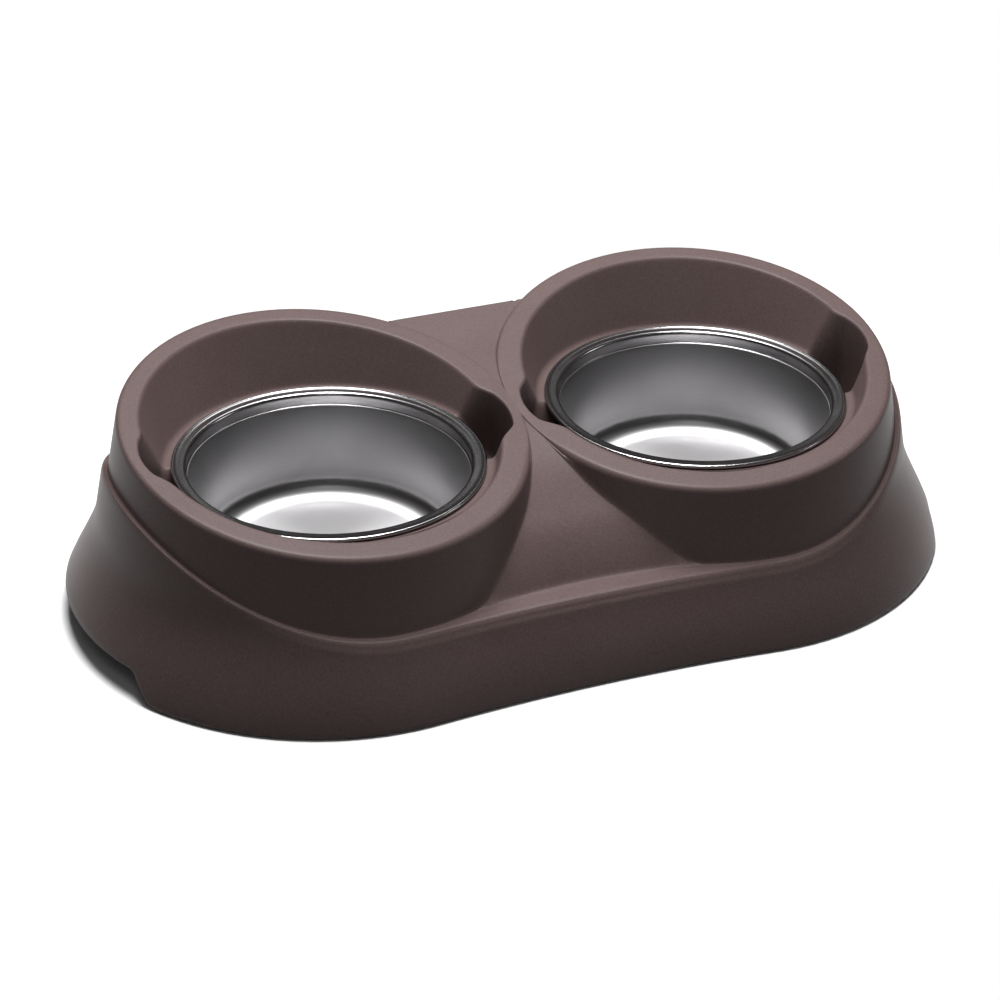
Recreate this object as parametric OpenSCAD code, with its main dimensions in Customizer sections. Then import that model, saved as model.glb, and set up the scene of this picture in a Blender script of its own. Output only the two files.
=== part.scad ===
// Double feeding stand: one hollow moulding with two tall tilted collars, two lift-out steel bowls
// and four push-in rubber feet. Lengths are in millimetres, +Z is up and the feet stand on z = 0.
// X runs along the stand, the low side of the collars faces -Y, and X = Y = 0 is the middle.

/* [Bowls] */
// Distance between the two bowls' centres
bowl_pitch = 185; // [183:0.5:190]
// Outer radius of the rolled rim of a bowl
bowl_rim_r = 72; // [70:0.5:73]
// Width of the flat flange, rolled edge included
bowl_flange_w = 6.8; // [5.5:0.1:8]
// Diameter of the rolled edge
bowl_roll_d = 2; // [1.6:0.1:2.4]
// How far the flat flange lies below the top of the rolled edge
flange_drop = 0.3; // [0.1:0.1:0.6]
// Depth inside a bowl, from the flange to the floor
bowl_depth = 51; // [40:1:54]
// Thickness of the drawn steel sheet
bowl_sheet = 0.8; // [0.6:0.1:1.2]
// Height of the straight neck under the flange
bowl_neck_h = 6; // [4:0.5:10]
// How far the step under the neck stands in
bowl_step = 0.9; // [0.5:0.1:1.5]
// Radius of the coved corner between wall and floor
bowl_cove_r = 11; // [6:0.5:16]
// Radius of the bend between flange and neck
bowl_bend_r = 1.6; // [1.2:0.1:2.5]
// Taper of a bowl's wall, in degrees from the vertical
bowl_taper = 8; // [4:1:14]

/* [Wells] */
// Height of the level ledge that a bowl's rim sits on
seat_h = 73.2; // [68:0.2:78]
// Gap between a bowl's rim and its ledge
seat_gap = 0.2; // [0.1:0.1:0.4]
// Radial room round a bowl's rolled rim, at the ledge
rim_room = 3.6; // [2.5:0.1:5]
// Radial room round a bowl's neck, in the hole of the ledge
neck_room = 2.4; // [1.5:0.1:3]
// Flare of a well's wall, in degrees from the vertical
well_flare = 21.8; // [16:0.2:24]
// Height of the turned-down lip round the hole in the ledge
lip_h = 6; // [3:0.5:10]
// How far the bowls stand forward of the collars' centres
bowl_forward = 7.4; // [6:0.2:8]

/* [Finger notches] */
// Width of a finger notch beside a bowl's rim
notch_w = 34; // [26:1:38]
// Reach of a finger notch past the bowl's rim
notch_reach = 16; // [13:0.2:16.4]
// Radius of the rounded back of a finger notch
notch_r = 31; // [24:1:40]
// Depth of a finger notch below the ledge
notch_d = 20; // [12:1:24]

/* [Collars] */
// Wall thickness of the moulding
wall = 2.6; // [2:0.1:3]
// Distance of a collar's centre from the middle of the stand
collar_x = 93.8; // [92.6:0.2:96]
// Outer radius of a collar at its rim
collar_r = 93.6; // [92.6:0.2:97]
// Height of a rim's plane over the collar's centre
collar_h = 90.6; // [86:0.2:96]
// Rise of a rim towards the back, in degrees
rim_tilt = 9.8; // [7:0.2:12]
// Rise of a rim towards the stand's end, in degrees
rim_lean = 2.6; // [1:0.2:4]
// Draft of a collar's outer wall, in degrees
collar_draft = 9.9; // [7:0.1:11]
// Radius of the round on a rim's outer edge
rim_round = 1.8; // [1.2:0.2:3]

/* [Skirt] */
// Height of the skirt's lower edge over the table
skirt_gap = 1; // [0.6:0.1:2]
// How far the skirt stands out from the collars' wall
skirt_step = 2.9; // [2:0.1:4]
// How far the foot of the skirt flares out
flare_w = 11.2; // [8:0.2:14]
// Height at which the flare begins
flare_h = 50; // [42:1:56]
// Height of the skirt's top edge in front of a bowl
ledge_h = 37.6; // [34:0.2:42]
// Radius of the swoop that lifts the skirt's top edge towards the ends
swoop_r = 151; // [140:1:170]
// How much slimmer the waist is than the two ends, on each side
waist_in = 4.4; // [3:0.2:8]

/* [End grips] */
// Height of a grip's raised edge over the table
grip_h = 13; // [9:0.5:18]
// Length of a grip's raised edge, where it is straight
grip_w = 88; // [70:1:96]
// Length of the S at each end of a grip, from the raised edge down to the foot
grip_run = 16; // [13:1:22]

/* [Bridge] */
// Height of the deck between the collars over the middle of the stand
deck_h = 83.3; // [80:0.1:85]
// Rise of the deck towards the back, in degrees
deck_tilt = 10; // [8:0.2:12]
// Distance of the deck's back edge from the middle
deck_back = 75.8; // [72:0.2:79]
// Draft of the wall behind the deck, in degrees
deck_draft = 6; // [3:0.5:9]
// Radius of the slide's hollow, seen from above, where it meets the ledge
slide_sweep_r = 300; // [290:1:340]
// Distance of the slide's foot from the middle
slide_foot = 89.8; // [87:0.2:91]
// Radius of the slide's round, seen from the side
slide_r = 70; // [68:1:78]
// Steepness of the slide at its foot, in degrees
slide_steep = 66; // [60:0.5:68]

/* [Feet] */
// Radius of a rubber foot
foot_r = 7; // [5:0.5:8]
// Length of a foot, from its sole to the top of its plug
foot_h = 6; // [4:0.5:8]
// Angle of a foot from the stand's long axis, seen from the collar's centre
foot_angle = 57; // [50:1:66]
// Distance of a foot's centre from the collar's centre
foot_from_centre = 103; // [98:0.5:106]
// Radial room of a foot in its socket
foot_room = 0.1; // [0.05:0.05:0.3]
// Wall thickness of a foot's socket
socket_wall = 2.2; // [1.6:0.2:3]

/* [Hidden] */

// Smoothness of the round forms, in faces per turn
$fn = 120;
// Overrun of every cut past the face that it opens
over = 1;
// How far rounds that would only touch reach into each other, so that their faces cross
lap = 0.2;
// Half length of the slide as a share of the collars' distance from the middle
slide_share = 0.8;

// Heights and radii that follow from the sizes above
rim_top_h = seat_h + seat_gap + bowl_roll_d;
well_r = bowl_rim_r + rim_room;
hole_r = bowl_rim_r - bowl_flange_w + neck_room;
stand_top_h = collar_h + (collar_r + rim_round) * (tan(rim_tilt) + tan(rim_lean)) + wall;
bowl_x = bowl_pitch / 2;

// Radius of the collars' wall at a height
function collar_wall(z) = collar_r + (collar_h - z) * tan(collar_draft);

// Outline of the skirt: radius at a height, a step out from the collars' wall and a smooth S to the foot
function ease(t) = let (u = max(0, min(1, t))) u * u * (3 - 2 * u);
function skirt_r(z) = collar_wall(z) + skirt_step + flare_w * ease(1 - z / flare_h);
skirt_steps = 12;
skirt_share = [for (i = [0:skirt_steps]) i / skirt_steps];

// The waist is a hollow round that touches both lobes: centre distance and radius of that round
lobe_foot_r = skirt_r(0);
waist_reach = (pow(collar_x, 2) + pow(lobe_foot_r - waist_in, 2) - pow(lobe_foot_r, 2)) / (2 * waist_in);
waist_axis = waist_reach + lobe_foot_r - waist_in;
waist_touch = norm([collar_x, waist_axis]);
waist_angle = atan2(waist_axis, collar_x);

// Level that a form starts from: the skirt's edge, or lower where it is the hollow, which is open below
function foot_line(inset) = inset > 0 ? -over : skirt_gap;

// Half profile of the skirt's outline from the foot up, inset by the wall that is asked for
function skirt_side(inset, low, high) =
    [for (s = skirt_share) let (z = low + (high - low) * s) [skirt_r(z) - inset, z]];

// One end of the skirt: the flare all the way round a collar's centre
module skirt_end(side, inset, low, high) {
    translate([side * collar_x, 0, 0])
        rotate_extrude()
            polygon(concat([[0, low]], skirt_side(inset, low, high), [[0, high]]));
}

// The waist between the two ends, hollowed front and back by rounds that meet the ends smoothly
module skirt_waist(inset, low, high) {
    far = waist_touch + lap;
    reach = lobe_foot_r + over;
    edge = [reach * cos(waist_angle), reach * sin(waist_angle)];
    difference() {
        translate([0, 0, low])
            linear_extrude(high - low)
                polygon([[-collar_x, 0], [edge.x - collar_x, -edge.y], [collar_x - edge.x, -edge.y],
                         [collar_x, 0], [collar_x - edge.x, edge.y], [edge.x - collar_x, edge.y]]);
        for (side = [-1, 1])
            translate([0, side * waist_axis, 0])
                rotate_extrude()
                    polygon(concat([[0, low - over]], [[far - skirt_r(low) + inset, low - over]],
                        [for (p = skirt_side(inset, low, high)) [far - p.x, p.y]],
                        [[far - skirt_r(high) + inset, high + over], [0, high + over]]));
    }
}

// Everything above the skirt's top edge: level between the bowls, swooping up over each end
module swoop(inset) {
    deep = lobe_foot_r + over;
    for (side = [-1, 1])
        translate([side * collar_x, 0, ledge_h - inset + swoop_r])
            rotate([90, 0, 0]) cylinder(r = swoop_r, h = 2 * deep, center = true);
    translate([-collar_x, -deep, ledge_h - inset]) cube([2 * collar_x, 2 * deep, stand_top_h]);
}

// The skirt, solid, with its top edge cut
module skirt(inset = 0) {
    low = foot_line(inset);
    difference() {
        union() {
            for (side = [-1, 1]) skirt_end(side, inset, low, seat_h + wall);
            skirt_waist(inset, low, seat_h + wall);
        }
        swoop(inset);
    }
}

// One collar, solid: a drafted round post under a tilted lid, whose edge is round and then flares
// out clear of the post. The lid is moved to the middle of the post's tilted section
module collar(side, inset = 0) {
    low = foot_line(inset);
    r_low = collar_wall(low) - inset;
    r_high = collar_wall(stand_top_h) - inset;
    lid_r = collar_r + rim_round / 2 - inset;
    shift = collar_r * tan(collar_draft) * [-side * tan(rim_lean), -tan(rim_tilt)];
    lid_low = -stand_top_h;
    intersection() {
        translate([side * collar_x, 0, low]) cylinder(r1 = r_low, r2 = r_high, h = stand_top_h - low);
        translate([side * collar_x, 0, collar_h - inset])
            rotate([rim_tilt, -side * rim_lean, 0])
                translate(concat(shift, 0))
                    rotate_extrude()
                        difference() {
                            polygon([[0, lid_low],
                                     [lid_r - (lid_low + rim_round) * tan(2 * rim_tilt), lid_low],
                                     [lid_r, -rim_round], [lid_r, 0], [0, 0]]);
                            translate([lid_r - rim_round, -rim_round])
                                difference() {
                                    square(rim_round + over);
                                    circle(rim_round);
                                }
                        }
    }
}

// The deck behind the neck, a slab that rises to the back, with a drafted wall behind it
module deck(inset = 0) {
    half = sqrt(pow(collar_r, 2) - pow(deck_back, 2));
    reach = collar_x - half / 2;
    top = deck_h + deck_back * tan(deck_tilt);
    back = deck_back - inset;
    drop = (top - ledge_h) * tan(deck_draft);
    low = foot_line(inset);
    rotate([90, 0, 90])
        linear_extrude(2 * reach, center = true)
            polygon([[-over, low], [-over, deck_h - inset - over * tan(deck_tilt)],
                     [back - rim_round / 2, top - inset - rim_round / 2 * tan(deck_tilt)],
                     [back, top - inset - rim_round / 2], [back + drop, ledge_h], [back + drop, low]]);
}

// The slide in front of the neck: a swept round that falls to the ledge, steepest at its foot
module slide(inset = 0) {
    run = slide_r * sin(slide_steep);
    axis_y = slide_foot + slide_sweep_r;
    centre = [slide_sweep_r + run, ledge_h - slide_r * cos(slide_steep)];
    low = ledge_h - 2 * wall;
    high = centre.y + slide_r - inset;
    reach = slide_share * collar_x;
    translate([0, -axis_y, 0])
        intersection() {
            rotate_extrude() {
                intersection() {
                    translate(centre) circle(slide_r - inset);
                    translate([0, low]) square([centre.x + over, high]);
                }
                translate([centre.x, low]) square([axis_y - centre.x, high - low]);
            }
            translate([-reach, 0, 0]) cube([2 * reach, 2 * axis_y, stand_top_h]);
        }
}

// The moulding's outer form, solid, or the form of the hollow in it for a given wall
module body(inset = 0) {
    skirt(inset);
    for (side = [-1, 1]) collar(side, inset);
    deck(inset);
    slide(inset);
}

// Space of one well over its ledge, widened by a wall where the shell round it is asked for
module well(side, skin = 0) {
    flare = tan(well_flare);
    high = stand_top_h - seat_h + over;
    translate([side * bowl_x, -bowl_forward, seat_h]) {
        rotate_extrude()
            polygon([[0, -skin], [well_r + skin, -skin], [well_r + skin, 0],
                     [well_r + skin + high * flare, high], [0, high]]);
        for (turn = [0, 180])
            rotate([0, 0, turn])
                intersection() {
                    translate([bowl_rim_r + notch_reach - notch_r, 0, -notch_d - skin])
                        cylinder(r = notch_r + skin, h = notch_d + high);
                    translate([bowl_rim_r - notch_reach, -notch_w / 2 - skin, -notch_d - skin])
                        cube([2 * notch_reach + skin, notch_w + 2 * skin, notch_d + high]);
                }
    }
}

// Hole in a ledge that the bowl drops through, or the lip that is turned down round it
module hole(side, skin = 0) {
    drop = skin > 0 ? wall + lip_h : notch_d + wall + over;
    translate([side * bowl_x, -bowl_forward, seat_h - drop]) cylinder(r = hole_r + skin, h = drop + over);
}

// Cut that raises the skirt's edge at both ends for the fingers, with an S of two arcs at each corner
module grips() {
    half = grip_w / 2;
    rise = grip_h - skirt_gap;
    turn = 2 * atan(rise / grip_run);
    arc_r = grip_run / sin(turn) / 2;
    long = 3 * (collar_x + lobe_foot_r);
    rotate([90, 0, 90]) {
        difference() {
            translate([-half - grip_run, -over, -long / 2])
                cube([2 * (half + grip_run), skirt_gap + rise / 2 + over, long]);
            for (s = [-1, 1])
                translate([s * (half + grip_run), skirt_gap + arc_r])
                    cylinder(r = arc_r, h = 2 * long, center = true);
        }
        translate([-half, -over, -long / 2]) cube([grip_w, grip_h + over, long]);
        for (s = [-1, 1])
            translate([s * half, grip_h - arc_r]) cylinder(r = arc_r + lap / 2, h = long, center = true);
    }
}

// Centres of the four feet, as left or right and front or back
function foot_at(side, end) =
    [side * (collar_x + foot_from_centre * cos(foot_angle)), end * foot_from_centre * sin(foot_angle)];

// One rubber foot: a plug with a slightly wider sole
module foot(side, end) {
    color("#1b1a1a")
        translate(concat(foot_at(side, end), 0)) {
            translate([0, 0, skirt_gap]) cylinder(r = foot_r, h = foot_h - skirt_gap);
            cylinder(r1 = foot_r - skirt_gap, r2 = foot_r, h = skirt_gap);
        }
}

// Sockets of the feet: round bosses that run up into the skirt
module sockets() {
    for (side = [-1, 1], end = [-1, 1])
        translate(concat(foot_at(side, end), skirt_gap))
            cylinder(r = foot_r + foot_room + socket_wall, h = ledge_h - skirt_gap);
}

module stand() {
    color("#3a2828")
        difference() {
            union() {
                difference() {
                    body();
                    difference() {
                        body(wall);
                        for (side = [-1, 1]) {
                            well(side, wall);
                            hole(side, wall);
                        }
                    }
                }
                intersection() {
                    sockets();
                    skirt();
                }
            }
            for (side = [-1, 1]) {
                well(side);
                hole(side);
            }
            grips();
            for (side = [-1, 1], end = [-1, 1])
                translate(concat(foot_at(side, end), -over))
                    cylinder(r = foot_r + foot_room, h = foot_h + over);
        }
}

// Space inside a bowl under its flange, grown by the sheet for the outside
module bowl_space(grow) {
    neck_r = bowl_rim_r - bowl_flange_w;
    wall_r = neck_r - bowl_step;
    cove_z = -bowl_depth + bowl_cove_r;
    cove_x = wall_r - (bowl_cove_r - (bowl_neck_h + cove_z) * sin(bowl_taper)) / cos(bowl_taper);
    bend = (bowl_cove_r + grow) * [cos(bowl_taper), -sin(bowl_taper)];
    low = cove_z + bend.y;
    translate([0, 0, -bowl_neck_h - grow])
        cylinder(r = neck_r + grow, h = bowl_neck_h + (grow > 0 ? grow : over));
    translate([0, 0, low])
        cylinder(r1 = cove_x + bend.x, r2 = wall_r + grow / cos(bowl_taper), h = -bowl_neck_h - low);
    translate([0, 0, cove_z])
        rotate_extrude()
            intersection() {
                translate([cove_x, 0]) circle(bowl_cove_r + grow);
                translate([0, -bowl_cove_r - grow]) square([bowl_rim_r, bowl_cove_r + grow + bend.y]);
            }
    translate([0, 0, -bowl_depth - grow]) cylinder(r = cove_x, h = bowl_cove_r + grow + bend.y);
}

// One bowl, drawn from sheet: rolled rim, flat flange, bend, straight neck, step, tapered wall, cove, floor
module bowl(side) {
    bend_x = bowl_rim_r - bowl_flange_w + bowl_bend_r;
    roll_r = bowl_roll_d / 2;
    color("#b9bcc2")
        translate([side * bowl_x, -bowl_forward, rim_top_h - flange_drop])
            difference() {
                union() {
                    bowl_space(bowl_sheet);
                    translate([0, 0, -bowl_sheet]) cylinder(r = bowl_rim_r - roll_r, h = bowl_sheet);
                    rotate_extrude()
                        difference() {
                            translate([bend_x - 2 * bowl_bend_r, -bowl_bend_r])
                                square([2 * bowl_bend_r, bowl_bend_r]);
                            translate([bend_x, -bowl_bend_r]) circle(bowl_bend_r - bowl_sheet);
                        }
                    rotate_extrude()
                        translate([bowl_rim_r - roll_r, flange_drop - roll_r]) circle(roll_r);
                }
                bowl_space(0);
                rotate_extrude()
                    difference() {
                        translate([bend_x - 2 * bowl_bend_r, -bowl_bend_r])
                            square([2 * bowl_bend_r, bowl_bend_r + over]);
                        translate([bend_x, -bowl_bend_r]) circle(bowl_bend_r);
                    }
            }
}

module left_bowl() { bowl(-1); }
module right_bowl() { bowl(1); }
module foot_front_left() { foot(-1, -1); }
module foot_front_right() { foot(1, -1); }
module foot_back_left() { foot(-1, 1); }
module foot_back_right() { foot(1, 1); }

stand();
left_bowl();
right_bowl();
foot_front_left();
foot_front_right();
foot_back_left();
foot_back_right();
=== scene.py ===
"""Double feeding stand for a small pet: one brown moulding, two lift-out steel bowls, four rubber feet."""
import bpy
import numpy as np
from mathutils import Matrix


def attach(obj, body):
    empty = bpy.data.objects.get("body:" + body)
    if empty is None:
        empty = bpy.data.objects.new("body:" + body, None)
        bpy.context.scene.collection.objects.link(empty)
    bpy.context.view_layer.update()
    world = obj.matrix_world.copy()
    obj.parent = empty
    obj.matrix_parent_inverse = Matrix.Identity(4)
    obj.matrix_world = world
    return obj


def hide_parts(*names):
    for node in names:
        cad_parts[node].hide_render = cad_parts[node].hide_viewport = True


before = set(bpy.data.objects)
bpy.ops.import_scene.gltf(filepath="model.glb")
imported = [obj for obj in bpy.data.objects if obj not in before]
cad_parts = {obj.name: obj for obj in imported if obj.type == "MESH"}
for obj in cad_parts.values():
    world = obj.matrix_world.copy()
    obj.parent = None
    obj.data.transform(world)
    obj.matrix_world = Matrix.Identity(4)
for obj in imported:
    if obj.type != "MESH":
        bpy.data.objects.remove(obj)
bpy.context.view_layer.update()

# The stand is one thin-walled injection moulding in dark brown plastic: two tilted collars round the
# bowls' wells, a deck and a slide between them, and a flared skirt with a grip at each end.
# It was moulded in one piece, so it is one closed skin here: an outer side and an inner one, a wall apart.
mm = 0.001
turn = 2 * np.pi
wall = 2.6
bowl_x, bowl_y = 92.5, -7.4
seat_h, seat_hole_r, lip_h = 73.2, 67.6, 6.0
seat_edge, seat_corner, well_edge = 0.8, 2.2, 1.6
well_r, well_flare = 75.6, np.tan(np.radians(21.8))
notch_half, notch_back, notch_r, notch_depth = 17.0, 88.0, 31.0, 20.0
collar_x, collar_r, collar_h = 93.8, 93.6, 90.6
collar_draft = np.tan(np.radians(9.9))
rim_rise, rim_lean, rim_drop = np.tan(np.radians(9.8)), np.tan(np.radians(2.6)), 2.8
collar_foot_round, collar_foot_least, collar_foot_share, ledge_foot_round = 3.0, 0.05, 0.8, 1.6
skirt_step, flare_w, flare_h, waist_in = 2.9, 11.2, 50.0, 4.4
ledge_h, swoop_r, skirt_gap = 37.6, 151.0, 1.0
skirt_round, skirt_round_run, skirt_foot_edge = 5.0, 3.0, 0.5
grip_h, grip_half, grip_run, grip_y = 13.0, 56.7, 16.0, 5.3
deck_h, deck_rise, deck_back, deck_draft = 83.3, np.tan(np.radians(10)), 75.8, np.tan(np.radians(6))
neck_lift, neck_front, neck_run, brow_round = 2.3, 60.0, 50.0, 3.0
slide_sweep_r, slide_foot, slide_steep, slide_slope, slide_step = 300.0, 89.8, 1.45, 0.62, 9.5
slide_foot_round, slide_head_round = 8.0, 6.0
bridge_half, bridge_fall = 62.0, 2.0


def ease(t):
    """Smooth step: 3 t squared less 2 t cubed, held at 0 and 1 outside. Its slope is 6 t (1 - t)."""
    t = np.clip(t, 0, 1)
    return t * t * (3 - 2 * t)


def blend_max(a, b, width):
    """The larger of a and b, with a parabola over the stretch where they differ by less than width."""
    near = np.clip(width - np.abs(a - b), 0, None)
    return np.maximum(a, b) + near * near / (4 * width)


def blend_min(a, b, width):
    """The smaller of a and b, rounded in the same way."""
    return -blend_max(-a, -b, width)


def collar_wall(z):
    """Radius of a collar's drafted wall: its radius at the rim's plane plus the draft times the depth."""
    return collar_r + (collar_h - z) * collar_draft


def skirt_wall(z):
    """Radius of the skirt: a step out from the collar's wall, and a smooth S out to the foot."""
    return collar_wall(z) + skirt_step + flare_w * ease(1 - z / flare_h)


foot_r = skirt_wall(0)
waist_axis = (collar_x**2 + (foot_r - waist_in) ** 2 - foot_r**2) / (2 * waist_in) + foot_r - waist_in
waist_touch = np.hypot(collar_x, waist_axis)


def skirt_depth(x, y, z):
    """How far a point lies inside the skirt's wall at height z: by the ring round the collar's centre, or
    past the line from there to the waist's centre by the hollow ring round the waist's centre."""
    front = np.abs(y)
    in_waist = (collar_x - x) * waist_axis > front * collar_x
    ring = skirt_wall(z) - np.hypot(x - collar_x, front)
    hollow = np.hypot(x, waist_axis - front) - (waist_touch - skirt_wall(z))
    return np.where(in_waist, hollow, ring)


def rim_plane(x, y):
    """Height of a rim's plane: it rises to the back and towards the stand's end."""
    return collar_h + rim_rise * y + rim_lean * (x - collar_x)


def bridge_top(x, y, inset):
    """Height of what lies between the collars: the deck's slope with its drafted back wall, and before it
    the slide, a ramp swept about an upright axis, with a steeper foot on the ledge. The deck rises a little
    towards the neck, and the bridge falls away inside the collars."""
    far = np.hypot(x, y + slide_foot + slide_sweep_r) - slide_sweep_r
    foot = slide_steep * far - inset * np.hypot(1, slide_steep)
    ramp = slide_slope * far + slide_step - inset * np.hypot(1, slide_slope)
    deck = deck_h - inset + deck_rise * y + neck_lift * ease((neck_front - y) / neck_run)
    behind = deck_h + deck_rise * deck_back - inset - (y - deck_back + inset) / deck_draft
    top = blend_min(ledge_h + blend_min(foot, ramp, slide_foot_round), deck, slide_head_round)
    return blend_min(top, behind, brow_round) - bridge_fall * np.clip(np.abs(x) - bridge_half, 0, None)


def ledge_top(x, inset):
    """Height of the skirt's top edge: level between the bowls, then up along a round over each end."""
    past = np.clip(x - collar_x, 0, swoop_r - 1)
    return ledge_h - inset + swoop_r - np.sqrt(swoop_r**2 - past**2)


def outer_height(x, y, inset):
    """Height of the moulding outside the wells: the collar under its rim plane, joined to the ledge and the
    bridge, and cut off at the skirt's wall. Each join is rounded by its own width, and the one at a collar's
    foot by less where the collar is low. The skirt's wall is followed by its slope at the ledge, and rises
    faster further in, so that it leaves the collar as it is."""
    x = np.abs(x)
    cone = collar_h + (collar_r - inset - np.hypot(x - collar_x, y)) / collar_draft
    collar = np.minimum(rim_plane(x, y) - inset, cone)
    base = blend_max(ledge_top(x, inset), bridge_top(x, y, inset), ledge_foot_round)
    step = rim_plane(x, y) - inset - base
    soft = np.clip(collar_foot_share * step, collar_foot_least, collar_foot_round)
    edge = ledge_top(x, inset)
    below = np.clip(1 - edge / flare_h, 0, 1)
    fall = collar_draft + 6 * flare_w / flare_h * below * (1 - below)
    depth = skirt_depth(x, y, edge) - inset
    flank = edge + depth * (1 + (depth / skirt_round_run) ** 2) / fall
    return blend_min(blend_max(collar, base, soft), flank, skirt_round)


def mix(a, b, share):
    """Point by point, a at share 0 and b at share 1."""
    return a + (b - a) * share


def where_zero(f, low, high):
    """Where a falling f crosses zero between low and high, by halving the stretch forty times."""
    for _ in range(40):
        middle = (low + high) / 2
        inside = f(middle) > 0
        low, high = np.where(inside, middle, low), np.where(inside, high, middle)
    return low


# The skin's columns and rows lie close together where the form turns sharply. Directions are in radians. The
# pairs say how far before and after such a line its two rows, or its two columns, lie. The counts of rows are
# for the stretches of the well, for those of the top, and for the skirt.
notch_mid_r, notch_past = 78.0, 1.2
notch_side, notch_soft, notch_end, notch_fade = np.arcsin(notch_half / notch_mid_r), 0.075, 0.63, 0.8
bridge_corner = [1.0, 0.945, 0.91]
edge_drop, edge_in, edge_run = 3.5, 1.6, 3.6
crease_rows, brow_rows, foot_rows = (-0.5, 1.3), (-1.4, 0.4), (-0.8, 1.0)
front_columns, back_columns, brow_columns = (0.69, -0.55), (0.66, -0.53), (0.25, -0.88)
column_counts = [4, 14, 18, 24, 3, 9, 3, 7, 3, 3, 2, 5, 2, 4, 9, 14, 4]
stretches_before_last = 7
outer_rows = [3, 3, 5, 5, 14, 6, 6, 6, 2], [14, 6, 9, 4, 9, 4, 4, 6], 24
inner_rows = [2, 2, 3, 3, 6, 3, 4, 3, 2], [8, 3, 6, 3, 5, 3, 3, 4], 14
crease_from, crease_to, skirt_from, skirt_to = -3.0, 20.0, 80.0, 200.0
foot_after, brow_before, row_gap_share, row_gap_base = 0.1, 8.0, 0.04, 0.5
rim_drop_share, rim_drop_least, rim_round_share = 0.7, 0.1, 0.95


def directions(inset):
    """Directions of the skin's columns round a collar, from 0 once round, and how many come before the one
    that ends at the skirt's edge in the middle plane. They are close together at the notches' sides, and one
    passes through each point where the slide's foot, the bridge's back foot or its brow meets the middle
    plane."""
    skirt = skirt_wall(ledge_h - inset - edge_drop) - waist_in - inset
    front = slide_foot - inset * (np.hypot(1, slide_steep) - 1) / slide_steep
    brow = deck_back - inset
    behind = brow + deck_draft * (deck_h + deck_rise * deck_back - ledge_h)
    across = [skirt, skirt - edge_run, *np.add(front, front_columns), *np.add(behind, back_columns),
              *np.add(brow, brow_columns)]
    stops = [0, notch_side - notch_soft, notch_side + notch_soft, notch_end,
             *np.subtract(np.pi, bridge_corner), *(np.pi - np.arctan2(across, collar_x)),
             np.pi - notch_side - notch_soft, np.pi - notch_side + notch_soft, np.pi]
    half = np.concatenate([np.linspace(a, b, count, endpoint=False)
                           for a, b, count in zip(stops, stops[1:], column_counts)])
    whole = np.concatenate([half, [np.pi], turn - half[:0:-1]])
    return whole, sum(column_counts[:stretches_before_last])


def well_path(angle, inset):
    """Corner points of a well's section in each direction, inside out: the lip's lower edge, the hole's edge,
    the ledge's outer edge, and the well's edge on the rim plane. A smooth step swaps them for the notch's."""
    rel = (angle + np.pi / 2) % np.pi - np.pi / 2
    sign = np.cos(angle - rel)
    share = ease((notch_side + notch_soft - np.abs(rel)) / (2 * notch_soft))
    rising, falling = np.abs(rel) / notch_side, (notch_fade - np.abs(rel)) / (notch_fade - notch_side)
    fade = np.minimum(rising, falling).clip(0)
    y_notch = np.clip(rel / notch_side, -notch_past, notch_past) * notch_half
    x_notch = notch_back - notch_r + np.sqrt((notch_r + inset) ** 2 - y_notch**2)
    floor = seat_h - share * notch_depth

    def plain(radius, z):
        a = angle + np.sign(rel) * (np.arcsin(notch_half / radius) - notch_side) * fade
        return np.stack([bowl_x + radius * np.cos(a), bowl_y + radius * np.sin(a), z + 0 * a], -1)

    notch = np.stack([bowl_x + sign * x_notch, bowl_y + sign * y_notch, floor - inset], -1)
    slant = inset * np.hypot(1, well_flare)
    level = rim_plane(bowl_x, bowl_y) - inset - seat_h
    grow = well_flare * (rim_rise * np.sin(angle) + rim_lean * np.cos(angle))
    top_r = (well_r + slant + level * well_flare) / (1 - grow)
    low = seat_h - wall - mix(lip_h, notch_depth, share)
    corners = [plain(seat_hole_r + inset + 0 * angle, low),
               plain(seat_hole_r + inset + 0 * angle, floor - inset),
               mix(plain(well_r + slant + 0 * angle, floor - inset), notch, share[:, None]),
               mix(plain(top_r, 0), notch, share[:, None])]
    corners[3][:, 2] = rim_plane(corners[3][:, 0], corners[3][:, 1]) - inset
    return corners


def rounded(corners, cuts, counts):
    """Rows of points along straight stretches between the corners, each inner corner cut back by its length
    and bridged by a quadratic curve."""
    corners = [np.asarray(c) for c in corners]
    ahead = [b - a for a, b in zip(corners, corners[1:])]
    ahead = [d / np.linalg.norm(d, axis=-1, keepdims=True) for d in ahead]
    rows, at = [], corners[0]
    for i, cut in enumerate(cuts, 1):
        before, after = corners[i] - cut * ahead[i - 1], corners[i] + cut * ahead[i]
        t = np.linspace(0, 1, counts[2 * i - 2], endpoint=False)[:, None, None]
        rows.append(mix(at, before, t))
        t = np.linspace(0, 1, counts[2 * i - 1], endpoint=False)[:, None, None]
        rows.append((1 - t) ** 2 * before + 2 * t * (1 - t) * corners[i] + t**2 * after)
        at = after
    t = np.linspace(0, 1, counts[-1])[:, None, None]
    return np.concatenate(rows + [mix(at, corners[-1], t)])


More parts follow.
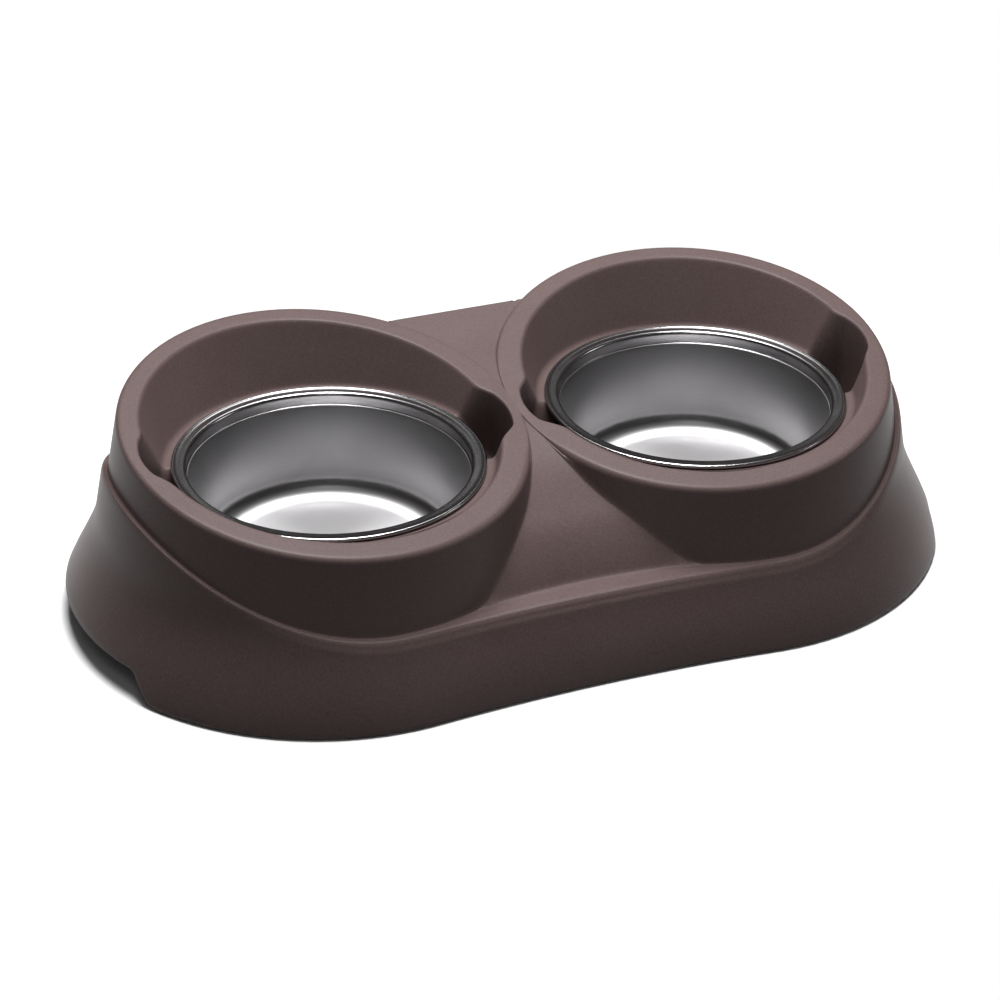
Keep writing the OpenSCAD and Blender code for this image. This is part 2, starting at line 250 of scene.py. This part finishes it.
def skin(inset, well_rows, top_rows, skirt_rows):
    """One side of the moulding for the right lobe: rows from the lip over the rim, down the collar and over
    the bridge and the ledge, for all columns; and rows down the skirt for the columns that reach it."""
    angle, last = directions(inset)
    ray = np.stack([np.cos(angle), np.sin(angle)], -1)
    slope = rim_rise * ray[:, 1] + rim_lean * ray[:, 0]
    rim_r = (collar_r - inset + collar_draft * inset) / (1 + collar_draft * slope)
    middle = collar_x / np.maximum(-ray[:, 0], 1e-6)

    def at(r):
        return collar_x + r * ray[:, 0], r * ray[:, 1]

    def over_base(r):
        x, y = at(r)
        base = np.maximum(ledge_top(np.abs(x), inset), bridge_top(x, y, inset))
        return collar_h + (collar_r - inset - r) / collar_draft - base

    def inside_skirt(r):
        x, y = at(r)
        return skirt_depth(x, y, ledge_top(x, inset)) - inset

    def over_ledge(r):
        x, y = at(r)
        return bridge_top(x, y, inset) - ledge_top(np.abs(x), inset)

    # Radii that the rows keep to: the rim, the collar's foot, the bridge's brow and foot, the skirt's edge.
    crease = where_zero(over_base, rim_r + crease_from, rim_r + crease_to)
    edge = where_zero(inside_skirt, skirt_from + 0 * angle, skirt_to + 0 * angle)
    reach = np.arange(len(angle))
    runs = (reach <= last) | (reach >= len(angle) - last)
    stop = np.where(runs, edge - edge_in, np.minimum(edge - edge_in, middle))
    after = crease + crease_rows[1]
    foot = where_zero(over_ledge, after, np.maximum(stop, after + foot_after))
    brow = np.where(ray[:, 1] > 0, (deck_back - inset) / np.maximum(ray[:, 1], 1e-6), foot - brow_before)
    x, y = at(rim_r)
    step = rim_plane(x, y) - inset - np.maximum(ledge_top(np.abs(x), inset), bridge_top(x, y, inset))
    drop = np.clip(rim_drop_share * step, rim_drop_least, rim_drop)
    wall_r = rim_r + drop * collar_draft
    lines = ((crease, crease_rows), (brow, brow_rows), (foot, foot_rows))
    stops = [wall_r, *(line + row for line, rows in lines for row in rows), stop]
    least = np.where(runs, np.maximum(stop - crease, row_gap_base) * row_gap_share, 0)
    for i in range(1, len(stops) - 1):
        stops[i] = np.maximum(stops[i], stops[i - 1] + least)
    for i in range(len(stops) - 2, -1, -1):
        stops[i] = np.minimum(stops[i], stops[i + 1] - least)
    stops = [np.stack(at(s), -1) for s in stops]

    x, y = at(edge)
    z = ledge_top(x, inset) - edge_drop
    hollow = (collar_x - x) * waist_axis > np.abs(y) * collar_x
    round_y = np.where(hollow, waist_axis * np.sign(y), 0)
    round_x = np.where(hollow, 0, collar_x)
    facing = np.stack([x - round_x, y - round_y], -1)
    facing /= np.linalg.norm(facing, axis=-1, keepdims=True)

    def skirt_point(z, extra=0.0):
        radius = np.where(hollow, waist_touch - skirt_wall(z) + inset + extra, skirt_wall(z) - inset - extra)
        return np.stack([round_x + radius * facing[:, 0], round_y + radius * facing[:, 1]], -1)

    end = skirt_point(z)
    end[[last, -last]] = end[[last, -last]] * [0, 1]
    stops.append(np.where(runs[:, None], end, np.stack(at(middle), -1)))

    corners = well_path(angle, inset)
    for radius, lower in ((rim_r, 0), (wall_r, drop)):
        corners.append(np.stack([*at(radius), rim_plane(*at(rim_r)) - inset - lower], -1))
    cuts = [seat_edge, seat_corner, well_edge, rim_round_share * drop[:, None]]
    inner = rounded(corners, cuts, well_rows)
    outer = [mix(a, b, np.linspace(0, 1, count, endpoint=False)[:, None, None])
             for a, b, count in zip(stops, stops[1:], top_rows)]
    plan = np.concatenate(outer + [stops[-1][None]])[1:]
    outer = np.concatenate([plan, outer_height(plan[..., :1], plan[..., 1:], inset)], -1)
    outer[-1, runs, 2] = z[runs]

    keep = np.r_[len(angle) - last:len(angle), 0:last + 1]
    depth = grip_half + grip_run - np.abs(skirt_point(0 * z)[:, 1] - grip_y)
    foot = skirt_gap + (grip_h - skirt_gap) * ease(depth / grip_run) * (facing[:, 0] > 0)
    down = []
    for t in np.linspace(0, 1, skirt_rows)[1:]:
        level = mix(z, foot + skirt_foot_edge, t)
        down.append(np.concatenate([skirt_point(level), level[:, None]], 1))
    inwards = skirt_foot_edge if inset == 0 else -skirt_foot_edge
    down.append(np.concatenate([skirt_point(foot, inwards), foot[:, None]], 1))
    down = np.stack(down)[:, keep]
    down[:, [0, -1], 0] = 0
    return np.concatenate([inner, outer]), down, keep


def quads(grid):
    """Four-cornered faces over a grid of point numbers."""
    return np.stack([grid[:-1, :-1], grid[1:, :-1], grid[1:, 1:], grid[:-1, 1:]], -1).reshape(-1, 4)


def stand_mesh():
    """Points and faces of the whole moulding: the outer and the inner skin of a lobe, closed along the lip
    and along the skirt's lower edge, and their mirror image."""
    points, sides, start = [], [], 0
    for inset, row_counts in ((0.0, outer_rows), (wall, inner_rows)):
        rows, down, keep = skin(inset, *row_counts)
        top = start + np.arange(rows.shape[0] * rows.shape[1]).reshape(rows.shape[:2])
        start += top.size
        low = start + np.arange(down.shape[0] * down.shape[1]).reshape(down.shape[:2])
        start += low.size
        points += [rows.reshape(-1, 3), down.reshape(-1, 3)]
        low = np.concatenate([top[-1:, keep], low])
        sides.append((np.concatenate([top, top[:, :1]], 1), low))
    (top_out, low_out), (top_in, low_in) = sides
    lip, lower_edge = np.stack([top_in[0], top_out[0]]), np.stack([low_out[-1], low_in[-1]])
    grids = [top_out, low_out, top_in[::-1], low_in[::-1], lip, lower_edge]
    faces = np.concatenate([quads(grid) for grid in grids])
    points = np.concatenate(points)
    mirrored = faces[:, ::-1] + len(points)
    return np.concatenate([points, points * [-1, 1, 1]]), np.concatenate([faces, mirrored])


def add_piece(name, points, faces, body, node, slot_name, material):
    """A smooth-shaded mesh on its body, from arrays of points in mm and of four-cornered faces. Points that
    coincide become one, and a face that loses a corner by that becomes a triangle."""
    points, place = np.unique(points.round(5) + 0.0, axis=0, return_inverse=True)
    faces = [[c for i, c in enumerate(face) if c != face[i - 1]] for face in place.ravel()[faces].tolist()]
    mesh = bpy.data.meshes.new(name)
    mesh.from_pydata((points * mm).tolist(), [], [f for f in faces if len(set(f)) == len(f) > 2])
    piece = bpy.data.objects.new(name, mesh)
    bpy.context.scene.collection.objects.link(piece)
    mesh.polygons.foreach_set("use_smooth", np.ones(len(mesh.polygons), bool))
    mesh.materials.append(material)
    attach(piece, body)
    if node:
        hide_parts(*node)


class Paint:
    """A value in a material's node tree. An expression on it adds Math nodes, and make() adds any other."""

    def __init__(self, tree, out=None):
        self.tree, self.out = tree, out

    def make(self, kind, settings, inputs, output=0):
        node = self.tree.nodes.new(kind)
        for key, value in settings.items():
            setattr(node, key, value)
        for key, value in inputs.items():
            if isinstance(value, Paint):
                self.tree.links.new(value.out, node.inputs[key])
            else:
                node.inputs[key].default_value = value
        return Paint(self.tree, node.outputs[output])

    def maths(self, operation, *values):
        return self.make("ShaderNodeMath", {"operation": operation}, dict(enumerate(values)))

    def shade(self, share, dark, light):
        """A colour that goes from dark to light with share."""
        return self.make("ShaderNodeMix", {"data_type": "RGBA"},
                         {0: share, "A": (*dark, 1), "B": (*light, 1)}, 2)

    def bumps(self, strength, depth, height):
        """A surface direction bent by fine bumps of a depth in metres."""
        return self.make("ShaderNodeBump", {}, {"Strength": strength, "Distance": depth, "Height": height})

    def __add__(self, other):
        return self.maths("ADD", self, other)

    def __sub__(self, other):
        return self.maths("SUBTRACT", self, other)

    def __rsub__(self, other):
        return self.maths("SUBTRACT", other, self)

    def __mul__(self, other):
        return self.maths("MULTIPLY", self, other)

    __radd__, __rmul__ = __add__, __mul__


def finish_of(name, constants):
    """A new material with a Principled shader whose constants are set, the shader, a Paint in its tree."""
    material = bpy.data.materials.new(name)
    material.use_nodes = True
    shader = material.node_tree.nodes["Principled BSDF"]
    for key, value in constants.items():
        shader.inputs[key].default_value = value
    return material, shader, Paint(material.node_tree)


def drive(shader, socket, value):
    """Links a Paint to one of the shader's sockets."""
    value.tree.links.new(value.out, shader.inputs[socket])


# Satin brown plastic, coloured right through. The mould's spark-eroded face gives it a fine grain, and its
# gloss is slightly uneven.
plastic, shader, paint = finish_of("brown_plastic", {"IOR": 1.5, "Specular IOR Level": 0.14})
place = paint.make("ShaderNodeTexCoord", {}, {}, 3)
grain = paint.make("ShaderNodeTexNoise", {},
                   {"Vector": place, "Scale": 1000.0, "Detail": 3.0, "Roughness": 0.6})
cloud = paint.make("ShaderNodeTexNoise", {}, {"Vector": place, "Scale": 30.0, "Detail": 3.0})
dark_brown, light_brown = (0.076, 0.048, 0.046), (0.150, 0.111, 0.108)
drive(shader, "Base Color", paint.shade(grain * 0.9 + cloud * 0.25 - 0.1, dark_brown, light_brown))
drive(shader, "Roughness", 0.34 + grain * 0.08 + cloud * 0.04)
drive(shader, "Normal", paint.bumps(0.35, 0.00012, grain))

add_piece("stand_moulding", *stand_mesh(), "stand", ["stand"], "stand_plastic", plastic)

# The foot sockets are round bosses inside the skirt, moulded with it in the same plastic. They stand near its
# four corners, and each takes the plug of a rubber foot from below.
foot_plug_r, foot_room, socket_wall, foot_top, foot_steps = 7.0, 0.1, 2.2, 6.0, 48
socket_edge, socket_round, socket_round_h, socket_h = 0.4, 6.0, 21.0, 27.2
foot_ring, foot_side = 103, np.radians(57)
foot_places = [(side * (collar_x + foot_ring * np.cos(foot_side)), end * foot_ring * np.sin(foot_side))
               for side in (-1, 1) for end in (-1, 1)]


def revolve(outline, steps, centre):
    """An outline of radii and heights, from axis to axis, turned once about an upright axis, as points and
    four-cornered faces."""
    outline = np.asarray(outline, float)
    a = np.linspace(0, turn, steps, endpoint=False)[:, None]
    points = np.stack([outline[:, 0] * np.cos(a), outline[:, 0] * np.sin(a), outline[:, 1] + 0 * a], -1)
    index = np.arange(points.shape[0] * points.shape[1]).reshape(points.shape[:2])
    return points.reshape(-1, 3) + centre, quads(np.concatenate([index, index[:1]]))


def arc(x, y, radius, start, stop, count):
    """Points of an arc of a circle, from one angle to another in degrees."""
    a = np.radians(np.linspace(start, stop, count))
    return np.stack([x + radius * np.cos(a), y + radius * np.sin(a)], -1)


boss_mouth_r = foot_plug_r + foot_room
boss_r = boss_mouth_r + socket_wall
boss = np.concatenate([[[0, foot_top], [boss_mouth_r, foot_top]],
                       arc(boss_mouth_r + socket_edge, skirt_gap + socket_edge, socket_edge, 180, 270, 4),
                       arc(boss_r - socket_edge, skirt_gap + socket_edge, socket_edge, 270, 360, 4),
                       arc(boss_r - socket_round, socket_round_h, socket_round, 0, 85, 8), [[0, socket_h]]])
for number, (x, y) in enumerate(foot_places):
    socket = revolve(boss, foot_steps, (x, y, 0))
    add_piece(f"foot_socket_{number + 1}", *socket, "stand", None, "stand_plastic", plastic)

# The feet are plain plugs of dark soft rubber with a rounded sole, about as wide as a fingertip. One is
# pushed into each socket, and they hold the skirt's edge a millimetre off the floor.
sole_r, sole_round, plug_round, plug_from = 5.6, 0.8, 0.6, 1.6
plug_edge_r = foot_plug_r - plug_round
foot_outline = np.concatenate([[[0, 0]], arc(sole_r, sole_round, sole_round, 270, 320, 5),
                               arc(plug_edge_r, plug_from, plug_round, 330, 360, 4),
                               arc(plug_edge_r, foot_top - plug_round, plug_round, 0, 90, 5),
                               [[0, foot_top]]])
rubber, shader, paint = finish_of("foot_rubber", {"IOR": 1.5, "Specular IOR Level": 0.3})
place = paint.make("ShaderNodeTexCoord", {}, {}, 3)
grain = paint.make("ShaderNodeTexNoise", {}, {"Vector": place, "Scale": 900.0, "Detail": 2.0})
black, dark_grey = (0.010, 0.010, 0.010), (0.022, 0.021, 0.021)
drive(shader, "Base Color", paint.shade(grain, black, dark_grey))
drive(shader, "Roughness", 0.6 + grain * 0.2)
drive(shader, "Normal", paint.bumps(0.3, 0.0001, grain))
foot_names = ["foot_front_left", "foot_back_left", "foot_front_right", "foot_back_right"]
for name, (x, y) in zip(foot_names, foot_places):
    pad = revolve(foot_outline, foot_steps, (x, y, 0))
    add_piece(f"{name}_pad", *pad, "stand", [name], "foot_rubber", rubber)

# Each bowl is drawn from stainless sheet: a rolled edge, a flat flange, a bend into a straight neck, a bead,
# a tapered wall with turned lines, a coved corner and a floor with a slight dome. It lifts straight out.
flange_z, bowl_rim_r, roll_r, sheet = 75.1, 72.0, 1.0, 0.8
neck_r, bowl_wall_r, neck_h, bowl_depth = 65.2, 64.3, 6.0, 51.0
cove_r, bend_r, taper, dome_h = 11.0, 1.6, 8.0, 0.9
bead_r, bead_under, bead_back_over, bead_back_under = 0.45, 0.5, 0.2, 0.9
flange_mid_r, flange_dip, roll_foot_r, roll_drop = 68.5, 0.02, 69.6, 1.7
floor_look_from, floor_look_to, bowl_steps = 46.0, 50.0, 256
lean = np.radians(taper)
cove_x = bowl_wall_r - (cove_r - (neck_h - bowl_depth + cove_r) * np.sin(lean)) / np.cos(lean)
cove_z = cove_r - bowl_depth


def dome(count, drop):
    """The floor's section: the height rises towards the axis by the dome's height, as a cosine."""
    r = np.linspace(0, cove_x, count)
    return np.stack([r, -bowl_depth - drop + dome_h / 2 * (1 + np.cos(np.pi * r / cove_x))], -1)


wall_foot = np.array([cove_x + cove_r * np.cos(lean), cove_z - cove_r * np.sin(lean)])
wall_head = np.array([bowl_wall_r, -neck_h - bead_under])
wall_back = sheet * np.array([np.cos(lean), -np.sin(lean)])
rise = np.linspace(0, 1, 26)[1:-1, None]
section = np.concatenate([
    dome(40, 0)[:-1], arc(cove_x, cove_z, cove_r, -90, -taper, 24), mix(wall_foot, wall_head, rise),
    arc(bowl_wall_r + bead_r, -neck_h - bead_r, bead_r, 180, 100, 5),
    arc(neck_r - bead_r, -neck_h + bead_r, bead_r, -80, 0, 5),
    arc(neck_r + bend_r, -bend_r, bend_r, 180, 90, 10), [[flange_mid_r, -flange_dip]],
    arc(bowl_rim_r - roll_r, roll_r - roll_drop, roll_r, 140, -120, 22), [[roll_foot_r, -sheet]],
    arc(neck_r + bend_r, -bend_r, bend_r - sheet, 90, 180, 6), [[neck_r + sheet, -neck_h + bead_back_over]],
    [[bowl_wall_r + sheet, -neck_h - bead_back_under]], mix(wall_head, wall_foot, rise) + wall_back,
    arc(cove_x, cove_z, cove_r + sheet, -taper, -90, 14), dome(12, sheet)[::-1][1:]])[::-1]
steel, shader, paint = finish_of("bowl_steel", {"Metallic": 1.0, "IOR": 2.0, "Anisotropic": 0.6})
place = paint.make("ShaderNodeTexCoord", {}, {}, 3)
east, north, up = (paint.make("ShaderNodeSeparateXYZ", {}, {0: place}, n) for n in (0, 1, 2))
east = paint.maths("ABSOLUTE", east) - bowl_x * mm
north = north - bowl_y * mm
radius = paint.maths("SQRT", east * east + north * north)
rings = paint.make("ShaderNodeCombineXYZ", {}, {0: radius * 1000.0, 1: up * 1000.0})  # in mm
lines = paint.make("ShaderNodeTexNoise", {}, {"Vector": rings, "Scale": 6.0, "Detail": 4.0, "Roughness": 0.7})
smudge = paint.make("ShaderNodeTexNoise", {}, {"Vector": place, "Scale": 45.0, "Detail": 2.0})
under_neck = paint.maths("LESS_THAN", up, (flange_z - neck_h) * mm)
on_floor = paint.make("ShaderNodeMapRange", {},
                      {0: up, 1: (flange_z - floor_look_from) * mm, 2: (flange_z - floor_look_to) * mm})
# Painted light in the steel's colour: below the neck it is darker, a painted shade on the wall, and towards
# the floor it is far lighter, a painted reflection of the lamp overhead. The turned lines and the smudges
# vary it only a little.
steel_tone_and_painted_light = 0.4 - under_neck * 0.15 + lines * 0.12 + smudge * 0.05 + on_floor * 0.8
dark_steel, light_steel = (0.10, 0.098, 0.10), (0.72, 0.71, 0.72)
drive(shader, "Base Color", paint.shade(steel_tone_and_painted_light, dark_steel, light_steel))
drive(shader, "Roughness", 0.14 + under_neck * (0.10 + lines * 0.12) + smudge * 0.05 + on_floor * 0.25)
drive(shader, "Normal", paint.bumps(0.5, 0.00002, lines))
for side, name in ((-1, "left_bowl"), (1, "right_bowl")):
    bowl = revolve(section, bowl_steps, (side * bowl_x, bowl_y, flange_z))
    add_piece(f"{name}_sheet", *bowl, name, [name], "steel", steel)

# The stage: a white floor, which glows for the camera away from the object and keeps its shadow, an even grey
# sky, a broad soft lamp overhead, one to the back, and two weak ones in front and at the right.
half = 3.0
floor_corners = [(-half, -half, 0), (half, -half, 0), (half, half, 0), (-half, half, 0)]
floor_dark, floor_white = 0.08, 0.9
glow_from, glow_to, glow_stretch = 0.16, 0.34, 0.6
floor_mesh = bpy.data.meshes.new("floor")
floor_mesh.from_pydata(floor_corners, [], [(0, 1, 2, 3)])
floor = bpy.data.objects.new("floor", floor_mesh)
bpy.context.scene.collection.objects.link(floor)
white, shader, paint = finish_of("white_floor", {"Roughness": 0.9, "Specular IOR Level": 0.1})
seen, glossy, through = (paint.make("ShaderNodeLightPath", {}, {}, n) for n in (0, 3, 6))
shown = paint.maths("MAXIMUM", seen, paint.maths("MAXIMUM", glossy, through))
drive(shader, "Base Color", floor_dark + shown * (floor_white - floor_dark))
place = paint.make("ShaderNodeTexCoord", {}, {}, 3)
east, north = (paint.make("ShaderNodeSeparateXYZ", {}, {0: place}, n) for n in (0, 1))
far = paint.maths("SQRT", east * east * glow_stretch**2 + north * north)
away = paint.make("ShaderNodeMapRange", {"interpolation_type": "SMOOTHSTEP"},
                  {0: far, 1: glow_from, 2: glow_to})
glow = paint.make("ShaderNodeEmission", {}, {"Color": (1, 1, 1, 1), "Strength": 1.0})
lit = Paint(paint.tree, shader.outputs[0])
blend = paint.make("ShaderNodeMixShader", {}, {0: shown * away, 1: lit, 2: glow})
paint.tree.links.new(blend.out, paint.tree.nodes["Material Output"].inputs["Surface"])
floor_mesh.materials.append(white)

world = bpy.data.worlds.new("grey_sky")
bpy.context.scene.world = world
world.use_nodes = True
world.node_tree.nodes["Background"].inputs["Color"].default_value = (0.07, 0.07, 0.07, 1)
lamp_aim = (0, 0, 0.08)


def put(name, data, right, upward, back, place):
    """A lamp or a camera at a place, set up along its own three axes, of which back points away from what it
    faces."""
    holder = bpy.data.objects.new(name, data)
    bpy.context.scene.collection.objects.link(holder)
    axes = np.stack([right, upward, back], 1)
    holder.matrix_world = Matrix([[*row, at] for row, at in zip(axes, place)] + [[0, 0, 0, 1]])
    return holder


def lamp(name, power, size, place):
    """A square soft lamp at a place, turned to face the middle of the object."""
    light = bpy.data.lights.new(name, "AREA")
    light.energy, light.shape, light.size = power, "SQUARE", size
    back = np.subtract(place, lamp_aim) / np.linalg.norm(np.subtract(place, lamp_aim))
    right = np.cross([0, 0, 1], back)
    right /= np.linalg.norm(right)
    put(name, light, right, np.cross(back, right), back, place)


lamp("top_softbox", 27.0, 0.6, (0.03, 0.2, 1.3))
lamp("back_softbox", 3.5, 0.6, (0.36, 0.8, 1.3))
lamp("front_softbox", 0.9, 0.4, (-0.41, -0.96, 1.16))
lamp("right_strip", 1.0, 0.3, (1.3, -0.4, 0.6))

# The camera stands where the photograph was taken from: 23 degrees round to the left, 30 degrees up.
around, above, roll = np.radians([-23.157, 29.841, 1.192])
back = np.array([np.sin(around) * np.cos(above), -np.cos(around) * np.cos(above), np.sin(above)])
right = np.array([np.cos(around), np.sin(around), 0])
upward = np.cross(back, right)
right, upward = (np.cos(roll) * right + np.sin(roll) * upward, np.cos(roll) * upward - np.sin(roll) * right)
camera = put("camera", bpy.data.cameras.new("camera"), right, upward, back, (-0.4849, -1.1236, 0.7331))
camera.data.lens, camera.data.sensor_width = 106.79, 36.0
camera.data.clip_end = 20.0
bpy.context.scene.camera = camera
bpy.context.scene.view_settings.view_transform = "Standard"
